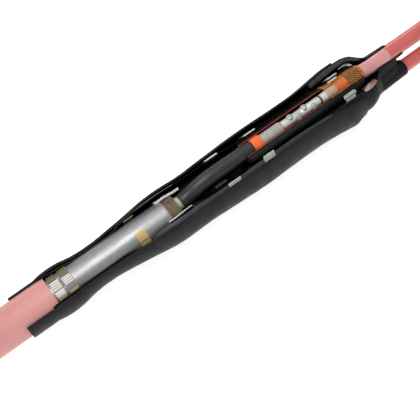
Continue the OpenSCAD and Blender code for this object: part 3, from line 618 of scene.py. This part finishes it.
for nme, key in (("core_filler", "filler"), ("crotch_filler", "filler")):
    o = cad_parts[nme]
    o.data.materials.clear()
    o.data.materials.append(M[key])

# crotch sleeve, with torn edges on the far side
CROTCH = [(-136, 0, 33.15, 43.7), (-125, 0, 33.2, 43.4), (-112, 2, 31.7, 43), (-104, 4, 29.6, 42.5), (-94, 7, 27.0, 42), (-80, 10, 24.9, 41.4)]
cR, cr, ct = columns(CROTCH)


def jag(x, seed, amp):
    return amp * (0.6 * noise.noise(Vector((x / 4.2, seed, 0.0))) + 0.5 * noise.noise(Vector((x / 1.7, seed, 3.0))))


v, f, m = shell(steps(-136, -80, 1.0), lambda x, t: hug(cR(x), cr(x) + (2.3 if t < 180 else 5.4 + 2.0 * jag(x, 2.0, 1.0)), t), lambda x, t: hug(cR(x), cr(x), t),
                lambda x: ct(x) + jag(x, 9.0, 0.8), lambda x: ct(x) + jag(x, 4.0, 8.0), n=90, bevel=0.2, end_bevel=0.3)
for k, fc in enumerate(f):
    # the near edge is folded back a little, so its rim shows white too; the fold is not modelled, the faces next to the
    # edge are only coloured white
    q = np.mean([v[i] for i in fc], axis=0)
    ang_q = math.degrees(math.atan2(-q[1], q[2]))
    if m[k] == 0 and 0 < ang_q < ct(q[0]) + 4.2:
        m[k] = 1
piece("crotch_screen_skin", v, f, ["rubber", "white", "inside"], ["crotch_screen"], face_mat=m)

# ------------------------------------------------------------------ clamps and earth braid
s = Soup()
v, f = turned([(-388, 33.05), (-388, 35.2, 0.5), (-371, 35.2, 0.5), (-371, 33.05)], n=90, arc=(39, 343))
s.add(v, f)


def painted_light_faces(verts, faces):
    """1 for the faces on the near side below the braid, which take the spring's painted light"""
    out = []
    for fc in faces:
        q = np.mean([verts[i] for i in fc], axis=0)
        out.append(1 if 20 < math.degrees(math.atan2(-q[1], q[2])) < 75 else 0)
    return out


piece("sheath_spring_1_skin", s.v, s.f, ["khaki", "khaki_lit"], ["sheath_spring_1"], face_mat=painted_light_faces(s.v, s.f))
v, f = turned([(-364.5, 33.05), (-364.5, 35.2, 0.5), (-345.5, 35.2, 0.5), (-345.5, 33.05)], n=90, arc=(41.5, 350))
piece("sheath_spring_2_skin", v, f, ["khaki", "khaki_lit"], ["sheath_spring_2"], face_mat=painted_light_faces(v, f))


def strip(x0, x1, pts, thick, bevel=0.3):
    """band of metal along a line of (angle, radius) points"""
    rings = []
    for t, r in pts:
        sec = [(x0, r + bevel), (x0 + bevel, r), (x1 - bevel, r), (x1, r + bevel), (x1, r + thick - bevel),
               (x1 - bevel, r + thick), (x0 + bevel, r + thick), (x0, r + thick - bevel)]
        rings.append([(x, -q * math.sin(t * DEG), q * math.cos(t * DEG)) for x, q in sec])
    w = 8
    verts = [p for r in rings for p in r]
    faces = [(j * w + i, j * w + (i + 1) % w, (j + 1) * w + (i + 1) % w, (j + 1) * w + i) for j in range(len(rings) - 1) for i in range(w)]
    faces += [tuple(range(w)), tuple(range((len(rings) - 1) * w, len(rings) * w))[::-1]]
    return verts, faces


s = Soup()
t = np.linspace(14, 310, 110)
v, f = strip(-205, -183.4, [(a, 33.1 + 6 * ((a - 14) / 296) ** 2) for a in t], 1.9)
s.add(v, f)
v, f = strip(-204.6, -183.8, [(a, 33.1) for a in np.linspace(46, 190, 60)], 2.8)
s.add(v, f)
# a thin strip in the darker khaki: a painted shadow line along the spring's step
v, f = strip(-205.2, -183.2, [(a, 34.4) for a in np.linspace(45.4, 48.0, 6)], 1.9)
s.add(v, f, 2)
# the far end of the spring, in the darker gold of painted shade
v, f = strip(-204.8, -183.6, [(a, 33.1 + 6 * ((a - 14) / 296) ** 2 - 0.1) for a in np.linspace(296, 311, 12)], 2.2)
s.add(v, f, 1)
piece("sheath_spring_3_skin", s.v, s.f, ["gold", "gold_painted_shade", "khaki"], ["sheath_spring_3"], face_mat=s.m)

# braid pads, ribbed along the joint, each on a slightly larger backing whose dark rim is painted shadow, with painted
# shade between the ribs
s = Soup()
for x0, x1, t0, t1, rows in ((-389, -368.6, -15.8, 19.5, 4), (-365, -344.6, -9, 22.7, 4)):
    v, f = strip(x0, x1, [(a, 33.05) for a in np.linspace(t0, t1 + 1.8, 24)], 0.8)
    s.add(v, f, 1)
    v, f = strip(x0 + 0.7, x1 - 0.7, [(a, 33.3) for a in np.linspace(t0 + 0.6, t1 - 0.4, 24)], 0.9)
    s.add(v, f, 2)
    per = (t1 - t0) / rows
    for i in range(rows):
        ta, tb = t0 + per * i, t0 + per * (i + 1)
        pts = []
        for k in range(11):
            u = k / 10
            pts.append((ta + (tb - ta) * (0.07 + 0.86 * u), 33.6 + 1.3 * math.sin(math.pi * (0.06 + 0.88 * u)) ** 0.6))
        v, f = strip(x0 + 0.9 + 0.2 * (i % 2), x1 - 0.9, pts, 0.5, bevel=0.2)
        s.add(v, f, 0)
# the gap between the two pads, dark as a painted shadow
v, f = strip(-369, -364.6, [(a, 33.05) for a in np.linspace(-9, 19.5, 20)], 0.7)
s.add(v, f, 1)
# a bright strip on the lead between the first pad and the spring's end: a painted highlight
v, f = strip(-389, -370, [(a, 33.05) for a in np.linspace(22, 42, 12)], 0.7)
s.add(v, f, 3)
piece("earth_braid_skin", s.v, s.f, ["braid", "braid_painted_shadow", "braid_painted_shade", "tinned"], ["earth_braid"], face_mat=s.m)

# ------------------------------------------------------------------ bands


def hug_band(x0, x1, R, rb, thick, near, far, n=110):
    return shell(steps(x0, x1, 3.0), lambda x, t: hug(R, rb + thick + 1.7 * min(max((t - 296) / 12, 0), 1), t), lambda x, t: hug(R, rb, t),
                 lambda x: near, lambda x: far, n=n, bevel=0.35, end_bevel=0.35)


s = Soup()
for args in ((-3, 26.5, 22.5, 33.6, 1.2, 47.5, 44.5), (89.5, 116, 35.3, 24.4, 1.2, 42, 40),
             (301, 328, 35.3, 22.6, 1.3, 33.5, 315.5, 14), (304, 328, 35.3, 22.6, 1.3, 47.5, 38)):
    v, f, m = hug_band(*args)
    if args[0] < 0:
        # the first band lies a little askew
        v = [(x + 3.6 * math.sin(math.atan2(-y, z)), y, z) for x, y, z in v]
    s.add(v, f, m)
# the curled end of the last band's upper strip
for k, (x0, x1, t0, t1) in enumerate(((327.3, 329.6, 35.0, 39.0), (329.2, 331.8, 37.5, 43.5), (327.3, 329.8, 43.0, 46.0))):
    v, f, m = hug_band(x0, x1, 35.3, 22.6 + 0.25 * k, 1.3, t0, 360 - t1, 6)
    s.add(v, f, 0)
a_far = 300 * DEG
for x0, x1, r0, r1 in ((293, 317, 18.6, 20.6),):
    vs = []
    for x in (x0, x0 + 0.4, x1 - 0.4, x1):
        for r, o in ((r0, 0.0), (r0, 1.4), (r1, 1.4), (r1, 0.0)):
            vs.append((x, -r * math.sin(a_far) - math.cos(a_far) * o, RM + r * math.cos(a_far) - math.sin(a_far) * o))
    s.add(vs, [(l * 4 + j, l * 4 + (j + 1) % 4, (l + 1) * 4 + (j + 1) % 4, (l + 1) * 4 + j) for l in range(3) for j in range(4)] + [(3, 2, 1, 0), (12, 13, 14, 15)], 0)
# the bands' inner faces take the near-black painted shade
piece("outer_bands_skin", s.v, s.f, ["band", "band", "inside"], ["outer_bands"], face_mat=s.m)
v, f, m = hug_band(-5, 24, 22.5, 30.4, 1.1, 50, 50)
# inner faces seen through the gaps between the cores take the band's painted shade; the rest take the near-black
# painted shade
for k, fc in enumerate(f):
    q = np.mean([v[i] for i in fc], axis=0)
    ang_q = math.degrees(math.atan2(-q[1], q[2])) % 360
    if m[k] == 2 and (187 < ang_q < 194.5 or ang_q > 288):
        m[k] = 0
piece("inner_band_skin", v, f, ["band_painted_shade", "band_painted_shade", "inside"], ["inner_band"], face_mat=m)

# ------------------------------------------------------------------ strands at the sawn ends


def strand_end(soup, x0, x1, centre, radii, r, phase, mat=0, sides=8, twist=0.0, seed=0):
    """short straight wires between two x, in rings round the centre height; the last one's face is at x1"""
    for ring, (rad, count) in enumerate(radii):
        for i in range(count):
            a = 2 * math.pi * i / count + ring * 0.37
            cy, cz = rad * math.sin(a), centre + rad * math.cos(a)
            d = 0.35 * noise.noise(Vector((i * 3.7 + seed, ring * 5.1, 0)))
            vs, k = [], sides
            end = x1 + (d if x1 > x0 else -d) * 0.6
            bev = 0.15 if x1 > x0 else -0.15
            for x, q in ((x0, r), (end - bev, r), (end, r * 0.84)):
                for j in range(k):
                    u = 2 * math.pi * j / k
                    vs.append(spin((x, cy + q * math.sin(u), cz + q * math.cos(u)), phase))
            fs = [(l * k + j, l * k + (j + 1) % k, (l + 1) * k + (j + 1) % k, (l + 1) * k + j) for l in range(2) for j in range(k)]
            fs += [tuple(range(k))[::-1], tuple(range(2 * k, 3 * k))]
            soup.add(vs, fs, mat)


RINGS = [(0.0, 1), (1.657, 6), (3.314, 12), (4.96, 18)]

# ------------------------------------------------------------------ the three phases


def by_radius(verts, faces, ph, limit):
    """1 for the faces nearer than a limit to a body's own axis"""
    out = []
    for fc in faces:
        pts = [spin(verts[i], -PHASE[ph]) for i in fc]
        out.append(1 if all(math.hypot(q[1], q[2] - RM) < limit for q in pts) else 0)
    return out


def cut_cover(xs, rin, rout, ang, lift):
    """thin strip that lies on a cut face of the top body, between two radii"""
    a = ang * DEG
    sg = 1 if ang < 180 else -1
    ty, tz = sg * math.cos(a), sg * math.sin(a)
    vs = []
    for x in xs:
        for r, o in ((rin(x), -0.1), (rin(x), lift), (rout(x), lift * 1.2), (rout(x), -0.1)):
            vs.append((x, -r * math.sin(a) + ty * o, RM + r * math.cos(a) + tz * o))
    fs = [(l * 4 + j, l * 4 + (j + 1) % 4, (l + 1) * 4 + (j + 1) % 4, (l + 1) * 4 + j) for l in range(len(xs) - 1) for j in range(4)]
    fs += [(3, 2, 1, 0), tuple(range(len(vs) - 4, len(vs)))]
    return vs, fs


LOW_BUMP = lambda size, amp: (lambda x, t, r: amp * noise.noise(Vector((x / size, math.cos(t) * 1.1, math.sin(t) * 1.1))))
BOLTS = ((183, -16), (199, 50), (219, -16), (238, 50))
for ph in "abc":
    cut = (60, 300) if ph == "a" else None
    line = core_line
    # conductors, stranded where they are sawn
    s = Soup()
    v, f = turned([(-572, 0), (-572, 5.75), (206, 5.75), (206, 0)], line, ph, n=40, step=8)
    s.add(v, f)
    strand_end(s, -571, -580, RL, RINGS, 0.82, ph, seed=ord(ph))
    piece("paper_conductor_%s_skin" % ph, s.v, s.f, "copper", ["paper_conductor_" + ph])
    s = Soup()
    v, f = turned([(213, 0), (213, 5.75), (572, 5.75), (572, 0)], line, ph, n=40, step=8)
    s.add(v, f)
    strand_end(s, 571, 580, RR, RINGS, 0.82, ph, seed=ord(ph) + 9)
    piece("single_conductor_%s_skin" % ph, s.v, s.f, "copper", ["single_conductor_" + ph])
    # paper insulation, pencilled at the connector
    v, f = turned([(-580, 5.85), (-580, 12.25, 0.3), (157.4, 12.25, 1.6), (159.8, 11.0, 0.8), (160.3, 10.0, 0.3), (160.3, 5.85)], line, ph, n=64, step=5)
    piece("paper_insulation_%s_skin" % ph, v, f, "grey", ["paper_insulation_" + ph])
    # black tube, drawn in a little where it starts
    v, f = turned([(-92.4, 12.32), (-92.4, 14.0, 0.8), (-86, 15.0, 3), (85.5, 15.0, 0.8), (85.5, 12.32)], line, ph, n=72, step=4, wob=LOW_BUMP(28, 0.16))
    piece("core_tube_%s_skin" % ph, v, f, "tube", ["core_tube_" + ph])
    # connector
    v, f = turned([(161, 5.8), (161, 9.8, 0.8), (208, 9.8), (208.3, 9.66), (210.2, 9.66), (210.5, 9.8), (257.4, 9.8, 3.2), (257.4, 5.8, 0.2)], line, ph, n=72, seg=6)
    sk = Soup()
    sk.add(v, f, 0)
    # a short ring at the connector's end, dark as the painted shadow in the gap before the insulation
    v, f = turned([(257.0, 5.8), (257.0, 8.2), (262.4, 8.2), (262.4, 5.8)], line, ph, n=48)
    sk.add(v, f, 1)
    piece("connector_%s_skin" % ph, sk.v, sk.f, ["connector", "gap_painted_shadow"], ["connector_" + ph],
          face_mat=sk.m)
    # cores of the single-core cables
    v, f = turned([(262.2, 5.8), (262.2, 9.6, 0.8), (325, 9.6), (326, 9.6), (326, 5.8)], line, ph, n=64, step=5)
    s = Soup()
    s.add(v, f, 0)
    v, f = turned([(326, 5.8), (326, 9.9), (580, 9.9, 0.2), (580, 5.8)], line, ph, n=64, step=6)
    s.add(v, f, 0)
    v, f = turned([(326, 9.92), (326, 10.4, 0.2), (580, 10.4, 0.1), (580, 9.92)], line, ph, n=64, step=6)
    s.add(v, f, 1)
    piece("single_insulation_%s_skin" % ph, s.v, s.f, ["xlpe", "semicon"], ["single_insulation_" + ph], face_mat=s.m)
    s = Soup()
    v, f = turned([(340, 10.45), (340, 11.95, 0.4), (574, 11.95), (574, 10.45)], line, ph, n=64, step=6)
    s.add(v, f)
    strand_end(s, 573, 580, RR, [(11.2, 30)], 0.72, ph, seed=ord(ph) + 40, sides=10)
    piece("screen_wires_%s_skin" % ph, s.v, s.f, "copper", ["screen_wires_" + ph])
    v, f = turned([(275, 9.65), (275, 11.2, 0.6), (301, 11.2, 0.4), (301, 9.65)], line, ph, n=64, step=6)
    piece("stress_tube_%s_skin" % ph, v, f, "tan", ["stress_tube_" + ph])
    # joint body
    arc = (64, 300) if ph == "a" else None
    low = LOW_BUMP(40, 0.12)
    flank = lambda x, t, r: low(x, t, r) + (4.0 * math.exp(-((t / DEG - 116) / 36) ** 2) * min((x - 60) / 14, 1) * min(max((372 - x) / 30, 0), 1) if ph == "a" and r > 19 else 0.0)
    n = 72 if ph == "a" else 96
    v, f = turned([(64, 16.3), (64, 17.6), (270, 17.6), (270, 16.3)], line, ph, n=n, arc=arc, step=6)
    # the liner's bore gets the near-black painted shade instead of its red
    piece("body_liner_%s_skin" % ph, v, f, ["liner", "painted_shade_dark"], ["body_liner_" + ph], sharp=30, face_mat=by_radius(v, f, ph, 16.4))
    v, f = turned([(64, 17.62), (64, 22.2, 1.0), (352, 22.2, 8), (360, 20.8, 4), (363.8, 17.7, 0.6)], (lambda x: (RM, 0.0)), ph, n=n, arc=arc, step=6, wob=flank)
    piece("body_tube_%s_skin" % ph, v, f, ["body", "tube_cut_painted_shade"], ["body_tube_" + ph], sharp=30,
          face_mat=[0] * (len(f) - 2) + ([1, 1] if arc else [0, 0]))
    # pink sealing mastic and red jacket
    v, f = turned([(366, 12.0), (366, 13.6, 1.2), (372, 14.8, 3), (440, 14.8, 0.5), (440, 12.0)], line, ph, n=64, step=4, wob=LOW_BUMP(22, 0.14))
    piece("finger_mastic_%s_skin" % ph, v, f, "pinkm", ["finger_mastic_" + ph])
    v, f = turned([(440, 12.02), (440, 15.0, 0.8), (580, 15.0, 0.3), (580, 12.02)], line, ph, n=72, step=6, wob=LOW_BUMP(45, 0.08))
    piece("jacket_%s_skin" % ph, v, f, "jacket", ["jacket_" + ph])
    # copper mesh: a base skin with woven wires over it
    s = Soup()
    mesh_line = lambda x: (RM, 0.0)
    prof = [(325 if ph == "a" else 270, 15.5), (325 if ph == "a" else 270, 16.7), (356, 16.7), (361, 16.1), (366, 14.9), (366, 13.6), (356, 15.0)]
    v, f = turned(prof, mesh_line, ph, n=72, step=4)
    s.add(v, f, 0)
    if ph == "a":
        v, f = turned([(270, 15.5), (270, 16.7), (325, 16.7), (325, 15.5)], mesh_line, ph, n=60, arc=(64, 300), step=6)
        s.add(v, f, 0)
    rm = pchip([270, 356, 361, 366], [16.75, 16.75, 16.2, 15.0])
    count = 22
    pitch = 75.0
    for hand in (1, -1):
        for i in range(count):
            a0 = 360.0 * i / count
            pts = []
            for x in np.linspace(270, 365.6, 80):
                a = a0 + hand * 360 * (x - 270) / (2.2 * pitch)
                aa = a % 360
                if ph == "a" and x < 325 and not (65.0 < aa < 299.0):
                    pts = []
                    continue
                wave = 0.22 * math.cos(math.pi * count * (x - 270) / (1.1 * pitch) + math.pi * i + (0 if hand > 0 else math.pi))
                pts.append((x, a, rm(x) + 0.28 + wave))
            if len(pts) < 2:
                continue
            vs = []
            for x, a, r in pts:
                for dx, dr in ((-0.46, 0.0), (0.0, 0.3), (0.46, 0.0), (0.0, -0.3)):
                    da = -hand * dx / r / DEG * 0.8
                    q = r + dr
                    vs.append(spin((x + dx * 0.6, -q * math.sin((a + da) * DEG), RM + q * math.cos((a + da) * DEG)), ph))
            fs = [(l * 4 + j, l * 4 + (j + 1) % 4, (l + 1) * 4 + (j + 1) % 4, (l + 1) * 4 + j) for l in range(len(pts) - 1) for j in range(4)]
            fs += [(3, 2, 1, 0), tuple(range(len(vs) - 4, len(vs)))]
            s.add(vs, fs, 1)
    v, f = turned([(359.5, 16.2), (360, 17.3, 0.5), (363.5, 16.8, 1), (366, 15.2, 1), (365.8, 13.0), (361, 15.0)], mesh_line, ph, n=96, step=1.5,
                  wob=lambda x, t, r: 0.35 * noise.noise(Vector((x / 2.5, math.cos(t) * 7, math.sin(t) * 7))))
    s.add(v, f, 2)
    if ph == "a":
        # mesh folded over the window's two edges
        xs = steps(268, 356, 2.0)
        ro = pchip([268, 274, 284, 296, 316, 332, 346, 356], [22.5, 21.0, 19.0, 18.0, 17.8, 18.8, 18.4, 17.5])
        ri = pchip([268, 274, 280, 298, 303, 322, 327, 356], [22.1, 18.0, 12.4, 12.2, 14.0, 14.9, 15.3, 15.3])
        fz = lambda x, k: 0.45 * noise.noise(Vector((x / 3.1, k, 0.0)))
        v, f = cut_cover(xs, ri, lambda x: ro(x) + fz(x, 2.0), 300, 0.8)
        s.add(v, f, 2)
        xs = steps(276, 358, 2.0)
        rn = pchip([276, 282, 325, 345, 358], [15.9, 17.6, 17.7, 18.8, 17.8])
        v, f = cut_cover(xs, lambda x: 15.4, lambda x: rn(x) + fz(x, 5.0), 64, 0.5)
        s.add(v, f, 2)
    piece("copper_mesh_%s_skin" % ph, s.v, s.f, ["mesh_base", "mesh_wire", "mesh_edge"], ["copper_mesh_" + ph], face_mat=s.m)

# core ties
s = Soup()
for ph in "abc":
    for x0, x1 in ((-101.5, -97.3), (-97, -92.6)):
        v, f = turned([(x0, 12.35), (x0, 13.4, 0.5), (x1, 13.4, 0.5), (x1, 12.35)], core_line, ph, n=64)
        s.add(v, f)
piece("core_ties_skin", s.v, s.f, "beige", ["core_ties"])

# mastic rings
s = Soup()
for ph in "abc":
    v, f = turned([(85.5, 12.35), (85.5, 15.0, 1.0), (97, 15.5, 4), (107, 15.1, 1.4), (107, 12.35)], core_line, ph, n=64, step=3, wob=LOW_BUMP(9, 0.15))
    s.add(v, f)
piece("left_mastics_skin", s.v, s.f, "orange_l", ["left_mastics"])
s = Soup()
for ph in "abc":
    v, f = turned([(301, 9.65), (301, 12.6, 1.4), (312, 13.6, 4), (321, 14.4, 3), (325.2, 16.6, 0.6), (325.2, 9.65)], core_line, ph, n=64, step=3, wob=LOW_BUMP(9, 0.15))
    s.add(v, f)
piece("right_mastics_skin", s.v, s.f, "orange_r", ["right_mastics"])

# shear bolts
s = Soup()
for ph in "abc":
    for x, a in BOLTS:
        for prof, mt in (([(0, 0), (0, 7.2, 0.3), (1.0, 7.4, 0.4), (2.2, 6.4, 1.2), (3.2, 4.4, 1.6), (3.7, 2.0, 0.8), (3.5, 1.3, 0.3), (3.4, 0)], 0),):
            pr = soften(prof)
            k = 32
            vs = []
            for hgt, q in pr:
                for j in range(k):
                    u = 2 * math.pi * j / k
                    px, py, pz = q * math.cos(u), q * math.sin(u), 9.6 + hgt
                    if hgt < 0.5 and q > 3:
                        pz = math.sqrt(max(9.7**2 - py**2, 25))
                    ar = a * DEG
                    y2, z2 = py * math.cos(ar) - pz * math.sin(ar), py * math.sin(ar) + pz * math.cos(ar)
                    vs.append(spin((x + px, y2, RM + z2), ph))
            fs = [(l * k + j, l * k + (j + 1) % k, (l + 1) * k + (j + 1) % k, (l + 1) * k + j) for l in range(len(pr) - 1) for j in range(k)]
            s.add(vs, fs, mt)
piece("shear_bolts_skin", s.v, s.f, ["bolt", "gap_painted_shadow"], ["shear_bolts"], face_mat=s.m)

# dark wrap at the ends of the bodies, its cut edges pale, brightened beyond the white film as painted light
wR = pchip([352, 359.5, 364.5, 371, 377], [35.3, 35.3, 35.3, 32.6, 31.2])
wr = pchip([352, 359.5, 364.5, 371, 377], [22.6, 22.6, 20.6, 17.7, 16.5])
w_t = pchip([346, 352, 360, 366, 368], [62, 60, 56, 52, 52])
s = Soup()
v, f, m = shell(steps(352, 368, 1.0), lambda x, t: hug(wR(x), wr(x) + 1.2, t), lambda x, t: hug(wR(x), wr(x), t),
                lambda x: 84, lambda x: w_t(x) + 8, n=110, bevel=0.2, end_bevel=0.2)
s.add(v, f, 0)


def ribbon(path, wide, thin):
    """pale edge along a path: wide in the plane that faces up and forward, thin across it; pointed at both ends"""
    ax = [pchip(range(len(path)), [q[i] for q in path]) for i in range(3)]
    up_v = Vector((0.0, -0.4067, 0.9135))
    pts = [Vector([a(u) for a in ax]) for u in np.linspace(0, len(path) - 1, 40)]
    vs = []
    for i, q in enumerate(pts):
        d = (pts[min(i + 1, 39)] - pts[max(i - 1, 0)]).normalized()
        side = d.cross(up_v).normalized()
        w = math.sin(math.pi * (0.04 + 0.92 * i / 39)) ** 0.5
        for k in range(10):
            a = 2 * math.pi * k / 10
            vs.append(tuple(q + side * (wide * w * math.cos(a)) + up_v * (thin * w * math.sin(a))))
    fs = [(l * 10 + j, l * 10 + (j + 1) % 10, (l + 1) * 10 + (j + 1) % 10, (l + 1) * 10 + j) for l in range(39) for j in range(10)]
    fs += [tuple(range(10))[::-1], tuple(range(390, 400))]
    return vs, fs


for path, wide, thin in (([(345.5, 41.4, 18.2), (353.5, 42.0, 18.5), (360.0, 41.5, 18.5), (367.0, 39.5, 17.5), (372.0, 36.0, 16.0), (375.5, 32.0, 14.0), (378.5, 27.5, 12.2), (380.0, 25.0, 11.2)], 2.5, 1.7),
                         ([(357.5, -29.0, -1.5), (362.5, -28.6, -0.6), (368.0, -27.2, 0.0), (374.0, -24.8, 0.0), (380.0, -21.6, -0.8), (386.0, -17.4, -3.0)], 4.5, 1.9)):
    v, f = ribbon(path, wide, thin)
    s.add(v, f, 1)
piece("outlet_wrap_skin", s.v, s.f, ["rubber", "white_painted_light", "inside"], ["outlet_wrap"], face_mat=s.m)

# ------------------------------------------------------------------ floor
bpy.ops.mesh.primitive_plane_add(size=8, location=(0, 0, 0))
floor = bpy.context.object
floor.name = "floor"
fl = bpy.data.materials.new("floor")
fl.use_nodes = True
fb = fl.node_tree.nodes["Principled BSDF"]
fb.inputs["Base Color"].default_value = (0.93, 0.93, 0.93, 1)
fb.inputs["Roughness"].default_value = 0.9
fb.inputs["Specular IOR Level"].default_value = 0.1
fb.inputs["Emission Color"].default_value = (1, 1, 1, 1)
fb.inputs["Emission Strength"].default_value = 0.8
floor.data.materials.append(fl)
